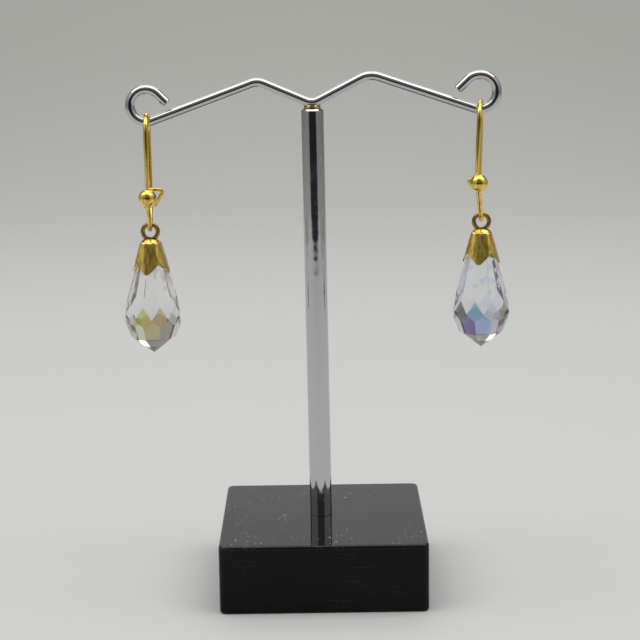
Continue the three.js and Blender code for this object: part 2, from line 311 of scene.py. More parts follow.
class StandSettings(bpy.types.PropertyGroup):
    """Sizes and colours of the block, the post and the arm wire."""

    block_corner: length("Block corner", "Radius of the block's upright corners", 0.7 * MM)
    block_bevel: length("Block bevel", "Width of the bevel round the block's top and bottom", 0.5 * MM)
    post_width: length("Post width", "Diameter of the post", 3.8 * MM)
    post_length: length("Post length", "Height of the post above the block", 70.5 * MM)
    post_offset: length("Post offset", "How far the post's foot stands off the block's centre", -0.35 * MM)
    post_lean: bpy.props.FloatProperty(
        name="Post lean", description="How far the post leans out of plumb", default=math.radians(0.45),
        subtype="ANGLE",
    )
    rim_chamfer: length("Rim chamfer", "Chamfer round the post's top", 0.25 * MM)
    stud_width: length("Stud width", "Diameter of the stud in the block", 2.4 * MM)
    stud_length: length("Stud length", "Depth that the stud reaches into the block", 7 * MM)
    socket_clearance: length("Socket clearance", "Room round the stud in its hole", 0.3 * MM)
    seat_gap: length("Seat gap", "Gap between the post and the block", 0.05 * MM)
    wire_width: length("Arm wire", "Diameter of the arm wire", 1.65 * MM)
    valley_bend: length("Valley bend", "Radius of the arm wire's bend over the post", 2.6 * MM)
    braze_gap: length("Braze gap", "Height of the arm wire above the post's rim", 0.2 * MM)
    braze_width: length("Braze width", "Diameter of the braze at the post's rim", 2.9 * MM)
    braze_top: length("Braze top", "Diameter of the braze at its top", 2.5 * MM)
    braze_height: length("Braze height", "Height of the braze above the post's rim", 0.65 * MM)
    block_colour: colour("Block colour", "Colour of the polished block", (0.0012, 0.0012, 0.0018))
    scuff_colour: colour("Scuff colour", "Colour of the block's hairline scratches", (0.03, 0.03, 0.032))
    dust_height: length("Dust height", "Height where the dust on the block starts to lie thicker", 11 * MM)
    dust_colour: colour("Dust colour", "Colour of the dust on the block", (0.62, 0.61, 0.56))
    chrome_colour: colour("Chrome colour", "Colour of the plated post and wire", (0.56, 0.56, 0.57))
    braze_colour: colour("Braze colour", "Colour of the braze", (0.50, 0.37, 0.17))


class EarringSettings(bpy.types.PropertyGroup):
    """Sizes and colours of the hooks and caps."""

    wire_width: length("Ear wire", "Diameter of the ear wire", 0.8 * MM)
    depth: length("Hook depth", "Distance between the hook's two legs", 6.2 * MM)
    bend: length("Bottom bend", "Radius of the bend that the ring hangs in", 0.9 * MM)
    back_bend: length("Back bend", "Radius of the bend at the back leg's foot", 2.2 * MM)
    ball_width: length("Ball", "Diameter of the ball", 3 * MM)
    ball_out: length("Ball reach", "How far the ball stands in front of the front leg", 1.6 * MM)
    catch_width: length("Catch wire", "Diameter of the thin catch", 0.6 * MM)
    catch_bend: length("Catch bend", "Radius of the catch's bends", 0.5 * MM)
    catch_clearance: length("Catch clearance", "Gap between the catch and the wire in front of it", 0.12 * MM)
    catch_lead: length("Catch lead", "How far before the wire the catch turns behind it", 1.1 * MM)
    catch_past: length("Catch reach", "How far the catch runs past the wire that it hooks behind", 0.75 * MM)
    catch_taper: length("Catch taper", "Length over which the wire thins into the catch", 0.8 * MM)
    ring_width: length("Ring", "Outer diameter of the ring", 3.3 * MM)
    ring_wire: length("Ring wire", "Diameter of the ring's wire", 0.75 * MM)
    ring_clearance: length("Ring clearance", "Gap between the ring and the hook's bend", 0.1 * MM)
    cap_top: length("Cap top", "Width of the cap's top", 3.3 * MM)
    cap_tip: length("Cap foot", "Width of the cap at its petals' tips", 6.35 * MM)
    cap_height: length("Cap height", "Height of the cap", 5.3 * MM)
    notch_drop: length("Notch", "Depth of the notches' tops below the cap's top", 3.35 * MM)
    cap_wall: length("Cap wall", "Thickness of the cap's wall", 0.2 * MM)
    cap_shoulder: length("Cap shoulder", "Radius of the cap's top edge", 0.28 * MM)
    petal_flat: length("Petal flat", "Width of a petal's blunt tip", 0.35 * MM)
    dome_width: length("Dome", "Diameter of the dome's top", 2.3 * MM)
    dome_height: length("Dome height", "Height of the dome", 0.45 * MM)
    solder_sink: length("Solder sink", "How deep the ring sits in the dome", 0.45 * MM)
    gold_colour: colour("Gold colour", "Colour of the gold plate", (0.96, 0.71, 0.15))
    streak_colour: colour("Streak colour", "Colour of the deeper streaks in the gold", (0.66, 0.40, 0.055))
    # The darker colour that the rings are given
    ring_dark_colour: colour("Tarnish colour", "Colour of the browned gold on the rings", (0.20, 0.11, 0.035))


class StoneSettings(bpy.types.PropertyGroup):
    """Sizes and finish of the crystals."""

    width: length("Stone width", "Width of the crystal across its widest row", 9.8 * MM)
    height: length("Stone height", "Height of the crystal", 17.9 * MM)
    facets: bpy.props.IntProperty(name="Facets", description="Facets in each row", default=10, min=8, max=16)
    clearance: length("Stone clearance", "Gap between the crystal and the cap", 0.08 * MM)
    edge: length("Facet edge", "Width of the polished edge between two facets", 0.045 * MM)
    cloudiness: bpy.props.FloatProperty(
        name="Cloudiness", description="How much the coating thins out in patches", default=0.15,
        min=0, max=1,
    )
    # Painted flashes: small glints of colour painted into the crystals' colour
    flash_size: length("Flash size", "Width of the small flashes of colour", 0.9 * MM)
    flash_low: length("Flash height", "Height above the floor where the flashes start", 50.5 * MM)
    warm_flash: colour("Left flashes", "Colour of the left crystal's flashes", (0.60, 0.40, 0.24))
    cool_flash: colour("Right flashes", "Colour of the right crystal's flashes", (0.36, 0.58, 0.88))


class StageSettings(bpy.types.PropertyGroup):
    """The sweep behind the stand and the light on it."""

    wide: length("Sweep width", "Half the width of the pale sweep", 1.2)
    depth: length("Sweep depth", "Distance from the stand to the sweep's wall", 0.75)
    curve: length("Sweep curve", "Radius of the curve between floor and wall", 0.3)
    tall: length("Sweep height", "Height of the sweep's wall", 1.1)
    # Painted shade: the sweep's colour darkens towards the wall between these two distances
    wall_shade_start: length("Fade start", "Distance behind the stand where the sweep starts to darken", 0.15)
    wall_shade_end: length("Fade end", "Distance back and up where the sweep is darkest", 0.75)
    # Painted pool of light: the floor stays pale within this reach of the stand, with painted shade beyond it
    light_pool_reach: length("Pale reach", "How far the floor stays pale to the front and sides", 0.34)
    light_pool_blur: length("Pale blur", "Half the width of the pale floor's soft edge", 0.03)
    floor_colour: colour("Floor colour", "Colour of the sweep's floor", (0.625, 0.63, 0.635))
    # Painted shade: the wall's colour is darker than the floor's
    wall_shade_colour: colour("Wall colour", "Colour of the sweep's wall", (0.50, 0.505, 0.48))
    # Painted light: between these two heights the wall's colour brightens to the upper wall colour
    lit_start: length("Lit start", "Height where the sweep's wall starts to brighten", 0.1)
    lit_end: length("Lit end", "Height where the sweep's wall is brightest", 0.19)
    lit_wall_colour: colour("Upper wall colour", "Colour of the sweep's wall higher up", (0.84, 0.84, 0.85))
    side_colour: colour("Side colour", "Colour of the room at the sides", (0.28, 0.28, 0.285))
    # Painted shade: the floor's darker colour at its sides, past the pool of light
    floor_side_shade_colour: colour("Far floor colour", "Colour of the floor at its sides", (0.46, 0.46, 0.455))
    # The room's dark light at its front, also used as painted shade on the floor in front of the stand
    front_colour: colour("Front colour", "Colour of the room at its front", (0.02, 0.02, 0.024))
    ceiling_colour: colour("Ceiling colour", "Colour of the room overhead", (0.62, 0.62, 0.62))
    front_high_colour: colour("Upper front colour", "Colour of the room high at its front", (0.2, 0.2, 0.21))
    lamp_power: bpy.props.FloatProperty(
        name="Lamp power", description="Power of the overhead light", default=2.25, min=0, unit="POWER")
    back_power: bpy.props.FloatProperty(
        name="Back lamp power", description="Power of the light on the sweep's wall", default=1.0, min=0,
        unit="POWER")


# Meshes


def new_piece(name, mesh):
    """Puts a mesh in the scene as an object of that name."""
    piece = bpy.data.objects.new(name, mesh)
    bpy.context.scene.collection.objects.link(piece)
    return piece


def mesh_from(name, build):
    """A mesh made in bmesh, with its faces pointing out."""
    work = bmesh.new()
    build(work)
    bmesh.ops.recalc_face_normals(work, faces=work.faces)
    mesh = bpy.data.meshes.new(name)
    work.to_mesh(mesh)
    work.free()
    return mesh


def settle(piece):
    """Turns the piece's modifiers into plain mesh."""
    bpy.context.view_layer.update()
    finished = bpy.data.meshes.new_from_object(piece.evaluated_get(bpy.context.evaluated_depsgraph_get()))
    piece.modifiers.clear()
    piece.data = finished


def combine(piece, other, operation):
    """Adds a modifier that joins another piece to this one, or cuts it out."""
    modifier = piece.modifiers.new("combine", "BOOLEAN")
    modifier.operation = operation
    modifier.solver = "EXACT"
    modifier.object = other


def fuse(name, pieces):
    """Joins overlapping pieces into one closed skin, as solder does. The cut is made in millimetres."""
    for piece in pieces:
        piece.data.transform(Matrix.Scale(1 / MM, 4))
    whole = pieces[0]
    for other in pieces[1:]:
        combine(whole, other, "UNION")
    settle(whole)
    for other in pieces[1:]:
        bpy.data.objects.remove(other)
    whole.name = name
    whole.data.name = name
    whole.data.transform(Matrix.Scale(MM, 4))
    return whole


def smooth(piece, crease):
    """Smooth shading, with an edge left sharp where two faces turn by more than crease degrees."""
    piece.data.shade_smooth()
    piece.data.set_sharp_from_angle(angle=math.radians(crease))


def turned(name, profile, sides, closed=False):
    """A profile of (radius, height) pairs turned round +Z. A radius of zero closes it at a pole."""

    def build(work):
        rings = []
        for radius, height in profile:
            count = sides if radius > 0 else 1
            angles = [2 * math.pi * i / count for i in range(count)]
            places = [(radius * math.cos(a), radius * math.sin(a), height) for a in angles]
            rings.append([work.verts.new(place) for place in places])
        pairs = list(zip(rings, rings[1:]))
        if closed:
            pairs.append((rings[-1], rings[0]))
        for low, high in pairs:
            for i in range(sides):
                j = i + 1
                corners = [low[i % len(low)], low[j % len(low)], high[j % len(high)], high[i % len(high)]]
                work.faces.new(list(dict.fromkeys(corners)))

    return new_piece(name, mesh_from(name, build))


def mark_faces(piece, key, value):
    """Keeps a number on every face, which stays with the face when pieces are fused."""
    layer = piece.data.attributes.new(key, "FLOAT", "FACE")
    layer.data.foreach_set("value", [value] * len(piece.data.polygons))


def dress(piece, material, body, node):
    """Gives the finished piece its material and its body, and hides the CAD node that it stands for."""
    piece.data.materials.clear()
    piece.data.materials.append(material)
    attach(piece, body)
    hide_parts(node)


# Node trees


def node_group(name, kind, inputs, outputs):
    """A new node group with its named inputs (name, kind, default) and outputs (name, kind)."""
    group = bpy.data.node_groups.new(name, kind)
    for label, socket_kind, default in inputs:
        socket = group.interface.new_socket(label, in_out="INPUT", socket_type=f"NodeSocket{socket_kind}")
        if default is not None:
            socket.default_value = default
    for label, socket_kind in outputs:
        group.interface.new_socket(label, in_out="OUTPUT", socket_type=f"NodeSocket{socket_kind}")
    return group, group.nodes.new("NodeGroupInput"), group.nodes.new("NodeGroupOutput")


def put(tree, kind, values=None, **settings):
    """Adds a node with its settings and the default values of its sockets."""
    node = tree.nodes.new(kind)
    for key, value in settings.items():
        setattr(node, key, value)
    for key, value in (values or {}).items():
        node.inputs[key].default_value = value
    return node


# Wires


def bent_wire_nodes(sides, bend_steps):
    """A node tree that rounds a chain of corners and sweeps a round wire along it."""
    tree, start, end = node_group(
        "bent_wire", "GeometryNodeTree",
        [("Geometry", "Geometry", None), ("Bend Steps", "Int", bend_steps), ("Wire Sides", "Int", sides),
         ("Material", "Material", None)],
        [("Geometry", "Geometry")],
    )
    chain = put(tree, "GeometryNodeMeshToCurve")
    fillet = put(tree, "GeometryNodeFilletCurve", mode="POLY")
    bend = put(tree, "GeometryNodeInputNamedAttribute", {"Name": "bend"}, data_type="FLOAT")
    thickness = put(tree, "GeometryNodeInputNamedAttribute", {"Name": "thickness"}, data_type="FLOAT")
    section = put(tree, "GeometryNodeCurvePrimitiveCircle", {"Radius": 1}, mode="RADIUS")
    sweep = put(tree, "GeometryNodeCurveToMesh", {"Fill Caps": True})
    shade = put(tree, "GeometryNodeSetShadeSmooth")
    realize = put(tree, "GeometryNodeRealizeInstances")
    paint = put(tree, "GeometryNodeSetMaterial")
    for from_node, from_socket, to_node, to_socket in (
        (start, "Geometry", chain, "Mesh"),
        (chain, "Curve", fillet, "Curve"),
        (start, "Bend Steps", fillet, "Count"),
        (bend, "Attribute", fillet, "Radius"),
        (fillet, "Curve", sweep, "Curve"),
        (start, "Wire Sides", section, "Resolution"),
        (section, "Curve", sweep, "Profile Curve"),
        (thickness, "Attribute", sweep, "Scale"),
        (sweep, "Mesh", shade, "Geometry"),
        (shade, "Geometry", realize, "Geometry"),
        (realize, "Geometry", paint, "Geometry"),
        (start, "Material", paint, "Material"),
        (paint, "Geometry", end, "Geometry"),
    ):
        tree.links.new(from_node.outputs[from_socket], to_node.inputs[to_socket])
    return tree


def bent_wire(name, corners, material, sides=24, bend_steps=10):
    """A round wire through corners of (place, bend radius, wire radius), with bevelled ends."""
    corners = with_bevelled_ends(corners)
    mesh = bpy.data.meshes.new(name)
    mesh.from_pydata([place for place, _, _ in corners], [(i, i + 1) for i in range(len(corners) - 1)], [])
    for column, key in ((1, "bend"), (2, "thickness")):
        layer = mesh.attributes.new(key, "FLOAT", "POINT")
        layer.data.foreach_set("value", [corner[column] for corner in corners])
    piece = new_piece(name, mesh)
    tree = bent_wire_nodes(sides, bend_steps)
    sweep = piece.modifiers.new("bent_wire", "NODES")
    sweep.node_group = tree
    for item in tree.interface.items_tree:
        if item.in_out == "INPUT" and item.name == "Material":
            sweep[item.identifier] = material
    settle(piece)
    return piece


def with_bevelled_ends(corners, share=0.22):
    """The same corners with each end's wire drawn in over a share of its radius."""
    corners = list(corners)
    for end, inner in ((0, 1), (-1, -2)):
        place, _, radius = corners[end]
        towards = (corners[inner][0] - place).normalized()
        shoulder = (place + towards * radius * share, 0, radius)
        corners[end] = (place, 0, radius * (1 - share))
        corners.insert(1 if end == 0 else len(corners) - 1, shoulder)
    return corners


# Stand


def post_frame(stand):
    """The post's foot on the block and the direction that it leans in."""
    block_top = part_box("stand_base")[1].z
    foot = Vector((stand.post_offset, 0, block_top + stand.seat_gap))
    up = Vector((-math.sin(stand.post_lean), 0, math.cos(stand.post_lean)))
    return foot, up


def corner_cut(radius, turn):
    """Height that a bend rises above its sharp corner where two runs turn by this many degrees."""
    return radius * (1 / math.cos(math.radians(turn) / 2) - 1)


def arm_wire_corners(stand):
    """Corners of the arm wire from the left loop's cut end to the right one's."""
    foot, up = post_frame(stand)
    top = foot + up * stand.post_length
    radius = stand.wire_width / 2
    valley = Vector((top.x, 0, top.z + stand.braze_gap + radius))
    valley.z -= corner_cut(stand.valley_bend, ARMS["left"].rise + ARMS["right"].rise)
    left, right = (
        [(place, bend, radius) for place, bend in arm_corners(arm, valley)] for arm in ARMS.values()
    )
    return left[::-1] + [(valley, stand.valley_bend, radius)] + right


def arm_corners(arm, valley, loop_bends=4):
    """Corners of one arm from its peak out to the loop's cut end."""

    def heading(angle):
        return Vector((arm.side * math.cos(math.radians(angle)), 0, math.sin(math.radians(angle))))

    peak = valley + heading(arm.rise) * arm.inner
    place = peak + heading(-arm.fall) * arm.outer
    corners = [(peak, arm.peak_bend)]
    step = arm.turn / loop_bends
    reach = arm.loop_radius * math.tan(math.radians(step) / 2)
    for i in range(loop_bends):
        run = reach if i == 0 else 2 * reach
        place = place + heading(i * step - arm.fall) * run
        corners.append((place, arm.loop_radius * TOUCHING_BENDS))
    end = place + heading(arm.turn - arm.fall) * (reach + arm.tail)
    corners.append((end, 0))
    return corners


# Earrings


class HookPlaces(NamedTuple):
    """Where a hook's arch, ball and bends are."""

    arch: Vector
    across: float
    ball_y: float
    lean: float
    corner_drop: float


def bend_place(name):
    """Where the hook's bottom bend carries the drop."""
    joint = next(joint for joint in frame["joints"] if joint["name"] == f"{name}_drop_swing")
    return Vector(joint["pos_m"])


def hook_places(earring, name):
    """Works out a hook's places up from the joint in its bottom bend."""
    ear = EARS[name]
    across = -ear.arm.side
    arch = bend_place(name) + Vector((-across * ear.bend_shift, 0, ear.bend_drop))
    ball_y = -(earring.depth / 2 + earring.ball_out)
    rise = ear.bend_drop - earring.bend - ear.ball_drop
    lean = math.atan2(-ball_y, rise) - math.asin(earring.bend / math.hypot(ball_y, rise))
    corner_drop = ear.bend_drop + earring.bend * (1 / math.sin(lean) - 1)
    return HookPlaces(arch, across, ball_y, lean, corner_drop)


def hook_corners(earring, name):
    """Corners of the ear wire from the ball, round the bottom bend and the arch, to the catch's end."""
    ear = EARS[name]
    places = hook_places(earring, name)
    half = earring.depth / 2
    turn = Matrix.Rotation(math.radians(ear.hook_turn), 4, "Z")

    def place(shift, y, drop):
        return places.arch + turn @ Vector((places.across * shift, y, -drop))

    thick = earring.wire_width / 2
    thin = earring.catch_width / 2
    back_corner = places.corner_drop - half / math.tan(places.lean)
    run_y = -(places.corner_drop - ear.curl_drop) * math.tan(places.lean)
    curl_y = run_y + (thick + thin + earring.catch_clearance) / math.cos(places.lean)
    leg_end = place(ear.leg_shift, -half, ear.catch_leave)
    arch_front = place(0, -half, 0)
    taper = leg_end.lerp(arch_front, earring.catch_taper / ear.catch_leave)
    return [
        (place(ear.ball_shift, places.ball_y, ear.ball_drop), 0, thick),
        (place(ear.bend_shift, 0, places.corner_drop), earring.bend, thick),
        (place(ear.leg_shift, half, back_corner), earring.back_bend, thick),
        (place(0, half, 0), half * TOUCHING_BENDS, thick),
        (arch_front, half * TOUCHING_BENDS, thick),
        (taper, 0, thick),
        (leg_end, earring.catch_bend / 2, thin),
        (place(ear.catch_out, -half, ear.catch_drop), earring.catch_bend, thin),
        (place(ear.ball_shift + earring.catch_lead, curl_y, ear.curl_drop - earring.catch_bend),
         earring.catch_bend, thin),
        (place(ear.ball_shift - earring.catch_past, curl_y, ear.curl_drop), 0, thin),
    ]


def circle_profile(radius, steps, start=0.0, sweep=2 * math.pi, out=0.0):
    """Points of a circle's arc as (radius, height) pairs, round a centre this far out."""
    angles = [start + sweep * i / steps for i in range(steps + 1)]
    return [(out + radius * math.cos(a), radius * math.sin(a)) for a in angles]


def cap_half_width(earring, drop):
    """Half the cap's width at a drop below its top."""
    return (earring.cap_top + (earring.cap_tip - earring.cap_top) * drop / earring.cap_height) / 2


def cap_radius(earring, angle, drop):
    """Distance of the cap's outside from its axis: a square with soft corners that rounds off lower down."""
    share = min(max(drop / earring.cap_height, 0), 1)
    power = CAP_TOP_SQUARENESS + (CAP_TIP_SQUARENESS - CAP_TOP_SQUARENESS) * share
    square = (abs(math.cos(angle)) ** power + abs(math.sin(angle)) ** power) ** (-1 / power)
    return cap_half_width(earring, drop) * square


def petal_edge(earring, angle):
    """Drop of the cap's lower edge at an angle, from a notch's top down to a petal's tip."""
    quarter = 2 * math.pi / PETALS
    off_notch = (angle % quarter) - quarter / 2
    run = earring.cap_height - earring.notch_drop
    tip_across = cap_half_width(earring, earring.cap_height) * math.sin(quarter / 2) - earring.petal_flat / 2
    drop = earring.cap_height
    for _ in range(PETAL_ROUNDS):
        across = abs(cap_radius(earring, angle, drop) * math.sin(off_notch))
        drop = min(earring.cap_height, earring.notch_drop + run * across / tip_across)
    return drop


def cap_shell(earring, name, sides=144, rows=16, shoulder_steps=4):
    """The bell with its four petals, as a single skin to be thickened inwards."""
    shoulder = earring.cap_shoulder

    def build(work):
        rings = []
        angles = [2 * math.pi * i / sides for i in range(sides)]
        for i in range(shoulder_steps + 1):
            a = math.pi / 2 * i / shoulder_steps
            inset = shoulder * (1 - math.sin(a))
            drop = shoulder * (1 - math.cos(a))
            rings.append([(cap_radius(earring, t, drop) - inset, drop) for t in angles])
        for row in range(1, rows + 1):
            ring = []
            for t in angles:
                drop = shoulder + (petal_edge(earring, t) - shoulder) * row / rows
                ring.append((cap_radius(earring, t, drop), drop))
            rings.append(ring)
        verts = [
            [work.verts.new((r * math.cos(t), r * math.sin(t), -drop)) for t, (r, drop) in zip(angles, ring)]
            for ring in rings
        ]
        crown = work.verts.new((0, 0, 0))
        for i in range(sides):
            j = (i + 1) % sides
            work.faces.new((crown, verts[0][i], verts[0][j]))
            for upper, lower in zip(verts, verts[1:]):
                work.faces.new((upper[i], lower[i], lower[j], upper[j]))

    piece = new_piece(name, mesh_from(name, build))
    wall = piece.modifiers.new("wall", "SOLIDIFY")
    wall.thickness = earring.cap_wall
    wall.offset = -1
    wall.use_even_offset = True
    settle(piece)
    return piece


def dome_profile(earring):
    """The solder dome's profile, from inside the cap's wall up to its flat top."""
    rim, top = earring.cap_top / 2, earring.dome_width / 2
    rise = [(rim * step.of_cap + top * step.of_dome, earring.dome_height * step.up) for step in DOME_STEPS]
    sunk = -earring.cap_wall / 2
    return [(0, sunk), (rise[0][0], sunk), *rise, (0, earring.dome_height)]


def ring_rise(earring):
    """Height of the ring's centre above the cap's top."""
    return earring.dome_height - earring.solder_sink + earring.ring_width / 2


def drop_place(earring, name):
    """The middle of the cap's top, hung from the joint in the hook's bend."""
    ring_hole = earring.ring_width / 2 - earring.ring_wire
    above_ring = ring_hole - earring.ring_clearance - earring.wire_width / 2
    return Matrix.Translation(bend_place(name) - Vector((0, 0, above_ring + ring_rise(earring))))


def stone_planes(stone, earring, name):
    """Each facet's plane as (row, column, point, outward direction), with the stone's tip at the origin."""
    ear = EARS[name]
    half = stone.width / 2
    tip_drop = ear.stone_seat + stone.height
    neck_flare = math.degrees(math.atan2((earring.cap_top - earring.cap_tip) / 2, earring.cap_height))
    flat = math.cos(math.pi / stone.facets)
    neck_radius = (cap_half_width(earring, earring.cap_height) - earring.cap_wall - stone.clearance) * flat
    rows = [
        (row.name, row.radius * half, row.height * stone.height, row.flare, row.turn) for row in FACET_ROWS
    ]
    rows.append(("neck", neck_radius, tip_drop - earring.cap_height, neck_flare, 0))
    for row, radius, height, flare, turn in rows:
        for column in range(stone.facets):
            angle = 2 * math.pi * (turn + column) / stone.facets - math.pi / 2
            out = Vector((math.cos(angle), math.sin(angle), 0))
            tilt = Vector((0, 0, math.tan(math.radians(flare))))
            yield row, column, out * radius + Vector((0, 0, height)), out - tilt


def cut_stone(stone, earring, name):
    """A block cut back facet by facet, with each facet's colour, the coating's tint and painted reflection
    and shade together, kept on its corners.
    """
    chart = {row: tints.split() for row, tints in TINT_AND_LIGHT_CHART[name].items()}

    def build(work):
        tint = work.loops.layers.float_color.new("facet_tint_and_light")
        rough = Matrix.Diagonal((stone.width * 2, stone.width * 2, stone.height * 2, 1))
        bmesh.ops.create_cube(work, size=1, matrix=rough)
        bmesh.ops.translate(work, verts=work.verts, vec=(0, 0, stone.height))
        planes = [("top", 0, Vector((0, 0, stone.height)), Vector((0, 0, 1)))]
        planes.extend(stone_planes(stone, earring, name))
        for row, column, point, outward in planes:
            cut = bmesh.ops.bisect_plane(
                work, geom=work.verts[:] + work.edges[:] + work.faces[:], dist=TOUCHING,
                plane_co=point, plane_no=outward, clear_outer=True,
            )
            rim = [item for item in cut["geom_cut"] if isinstance(item, bmesh.types.BMEdge)]
            if len(rim) < 3:
                continue
            made = bmesh.ops.edgeloop_fill(work, edges=rim)
            # This facet's colour: the coating's tint with painted reflection and shade
            tints = chart.get(row)
            shade = TINTS_AND_PAINTED_LIGHT[tints[column % len(tints)]] if tints else TINTS_AND_PAINTED_LIGHT["clear"]
            for face in made["faces"]:
                for corner in face.loops:
                    corner[tint] = (*shade, 1)

    piece = new_piece(name, mesh_from(name, build))
    edge = piece.modifiers.new("polished_edges", "BEVEL")
    edge.width = stone.edge
    edge.segments = 1
    edge.limit_method = "ANGLE"
    edge.angle_limit = math.radians(FLATTEST_EDGE)
    settle(piece)
    return piece


# Materials


def maths(tree, operation, first, second=None, clamp=False):
    """A Math node fed by sockets or numbers."""
    node = put(tree, "ShaderNodeMath", operation=operation, use_clamp=clamp)
    for index, value in enumerate((first, second)):
        if value is None:
            continue
        if isinstance(value, (int, float)):
            node.inputs[index].default_value = value
        else:
            tree.links.new(value, node.inputs[index])
    return node.outputs[0]


def mixed(tree, share, first, second):
    """A colour mixed from two colours or sockets by a share."""
    node = put(tree, "ShaderNodeMix", data_type="RGBA")
    for socket, value in ((node.inputs[0], share), (node.inputs[6], first), (node.inputs[7], second)):
        if isinstance(value, bpy.types.NodeSocket):
            tree.links.new(value, socket)
        else:
            socket.default_value = (*value[:3], 1)
    return node.outputs[2]


def ramped(tree, value, low, high):
    """Zero below low and one above high, smooth between."""
    ends = {"From Min": low, "From Max": high}
    node = put(tree, "ShaderNodeMapRange", ends, interpolation_type="SMOOTHSTEP")
    tree.links.new(value, node.inputs["Value"])
    return node.outputs["Result"]


def object_place(tree):
    """The object's own coordinates."""
    return put(tree, "ShaderNodeTexCoord").outputs["Object"]


def axes_of(tree, vector):
    """The X, Y and Z values of a vector."""
    node = put(tree, "ShaderNodeSeparateXYZ")
    tree.links.new(vector, node.inputs[0])
    return node.outputs


def noise(tree, cells, detail):
    """A noise's value on the object's own coordinates, by its cells to a millimetre along each axis."""
    stretch = put(tree, "ShaderNodeVectorMath", {1: cells}, operation="MULTIPLY")
    tree.links.new(object_place(tree), stretch.inputs[0])
    cloud = put(tree, "ShaderNodeTexNoise", {"Scale": 1 / MM, "Detail": detail})
    tree.links.new(stretch.outputs[0], cloud.inputs["Vector"])
    return cloud.outputs["Fac"]


def surface_wear_group():
    """Fine scratches, dust specks and finger smudges, in millimetres on the object's own coordinates."""
    group, given, result = node_group(
        "surface_wear", "ShaderNodeTree",
        [("Scratch Length", "Float", 3.0), ("Scratches", "Float", 0.5),
         ("Dust Spacing", "Vector", (1.2, 1.2, 1.2)), ("Dust", "Float", 0.5), ("Smudges", "Float", 0.5)],
        [(label, "Float") for label in ("Scratch Mask", "Dust Mask", "Smudge Mask", "Height")],
    )

    def divided(vector, size):
        node = put(group, "ShaderNodeVectorMath", operation="DIVIDE")
        for value, socket in zip((vector, size), node.inputs):
            group.links.new(value, socket)
        return node.outputs[0]

    def noise_at(vector, values):
        node = put(group, "ShaderNodeTexNoise", values)
        group.links.new(vector, node.inputs["Vector"])
        return node.outputs["Fac"]

    enlarge = put(group, "ShaderNodeVectorMath", {"Scale": 1 / MM}, operation="SCALE")
    group.links.new(object_place(group), enlarge.inputs[0])
    in_mm = enlarge.outputs[0]
    patches = ramped(group, noise_at(in_mm, {"Scale": PATCH_CELLS, "Detail": 2.0}), *PATCH_EDGE)

    scratches = 0.0
    for turns in SCRATCH_TURNS:
        angles = [math.radians(turn) for turn in turns]
        lay = put(group, "ShaderNodeMapping", {"Rotation": angles, "Scale": SCRATCH_CELLS})
        group.links.new(in_mm, lay.inputs["Vector"])
        grain = noise_at(divided(lay.outputs[0], given.outputs["Scratch Length"]),
                         {"Scale": 1.0, "Detail": 1.0, "Distortion": 0.2})
        scratches = maths(group, "MAXIMUM", scratches, ramped(group, grain, *SCRATCH_EDGE))
    scratched = maths(group, "MULTIPLY", scratches, patches)
    scratch_mask = maths(group, "MULTIPLY", scratched, given.outputs["Scratches"], clamp=True)

    speck = put(group, "ShaderNodeTexVoronoi")
    group.links.new(divided(in_mm, given.outputs["Dust Spacing"]), speck.inputs["Vector"])
    apart = put(group, "ShaderNodeSeparateColor")
    group.links.new(speck.outputs["Color"], apart.inputs[0])
    largest = maths(group, "ADD", maths(group, "MULTIPLY", patches, SPECK_REACH_IN_PATCH), SPECK_REACH)
    reach = maths(group, "MULTIPLY", maths(group, "POWER", apart.outputs[0], SPECK_POWER), largest)
    dust = ramped(group, maths(group, "SUBTRACT", reach, speck.outputs["Distance"]), 0.0, SPECK_BLUR)
    dust_mask = maths(group, "MULTIPLY", dust, given.outputs["Dust"], clamp=True)

    cloud = noise_at(in_mm, {"Scale": SMUDGE_CELLS, "Detail": 4.0, "Roughness": 0.6})
    smudge_mask = maths(group, "MULTIPLY", ramped(group, cloud, *SMUDGE_EDGE), given.outputs["Smudges"])

    height = maths(group, "SUBTRACT", dust_mask, maths(group, "MULTIPLY", scratch_mask, SCRATCH_DEPTH))
    for value, socket in zip((scratch_mask, dust_mask, smudge_mask, height), result.inputs):
        group.links.new(value, socket)
    return group


def new_material(name, sockets):
    """A material's node tree and its Principled shader, with its plain sockets set."""
    material = bpy.data.materials.new(name)
    if material.name != name:
        raise RuntimeError(f"the name {name} is taken by another material")
    material.use_nodes = True
    shader = material.node_tree.nodes["Principled BSDF"]
    for key, value in sockets.items():
        shader.inputs[key].default_value = value
    return material.node_tree, shader


def worn(tree, shader, group, finish, waves=None):
    """Puts the shared wear into a material: its masks raise the roughness, its height dents the surface."""
    wear = put(tree, "ShaderNodeGroup", node_tree=group)
    for key, value in finish.marks.items():
        wear.inputs[key].default_value = value
    marks = maths(tree, "MAXIMUM", wear.outputs["Smudge Mask"], wear.outputs["Scratch Mask"])
    marks = maths(tree, "MAXIMUM", marks, wear.outputs["Dust Mask"])
    sheen = maths(tree, "ADD", maths(tree, "MULTIPLY", marks, finish.rougher), finish.roughness)
    tree.links.new(sheen, shader.inputs["Roughness"])
    height = wear.outputs["Height"]
    if waves is not None:
        height = maths(tree, "ADD", height, maths(tree, "MULTIPLY", waves, WAVE_HEIGHT))
    bump = put(tree, "ShaderNodeBump", {"Strength": 1.0, "Distance": finish.depth})
    tree.links.new(height, bump.inputs["Height"])
    tree.links.new(bump.outputs["Normal"], shader.inputs["Normal"])
    return wear


def chrome_material(stand, wear):
    """Bright chrome plate that turns to the braze's dull gold where the wire is brazed on the post."""
    tree, shader = new_material(CHROME, {"Metallic": 1})
    worn(tree, shader, wear, FINISHES[CHROME], noise(tree, CHROME_WAVE_CELLS, 1.5))
    braze = put(tree, "ShaderNodeAttribute", attribute_name="braze")
    tone = mixed(tree, braze.outputs["Fac"], stand.chrome_colour, stand.braze_colour)
    tree.links.new(tone, shader.inputs["Base Color"])


